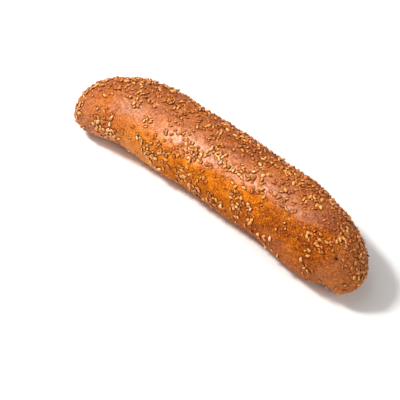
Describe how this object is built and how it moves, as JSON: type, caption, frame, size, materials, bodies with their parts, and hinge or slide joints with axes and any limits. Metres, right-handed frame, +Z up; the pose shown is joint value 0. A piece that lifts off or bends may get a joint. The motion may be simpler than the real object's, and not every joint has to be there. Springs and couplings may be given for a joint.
{
  "type": "sesame breadstick",
  "caption": "Long soft bread roll, gently bent, with a blunt end, a slimmer nose, a glossy egg-washed crust, sesame seeds and a flat base.",
  "frame": {"origin": "on the surface that the loaf rests on, below the middle of its bounding box", "axes": "+X along the loaf from its blunt end to its slimmer nose, +Z up out of its crown, -Y to the inner side of its bend"},
  "size_m": [0.2504, 0.0646, 0.0444],
  "materials": {
    "crust": "satin",
    "sesame": "satin"
  },
  "bodies": {
    "root": {"breadstick": "crust"}
  },
  "joints": []
}
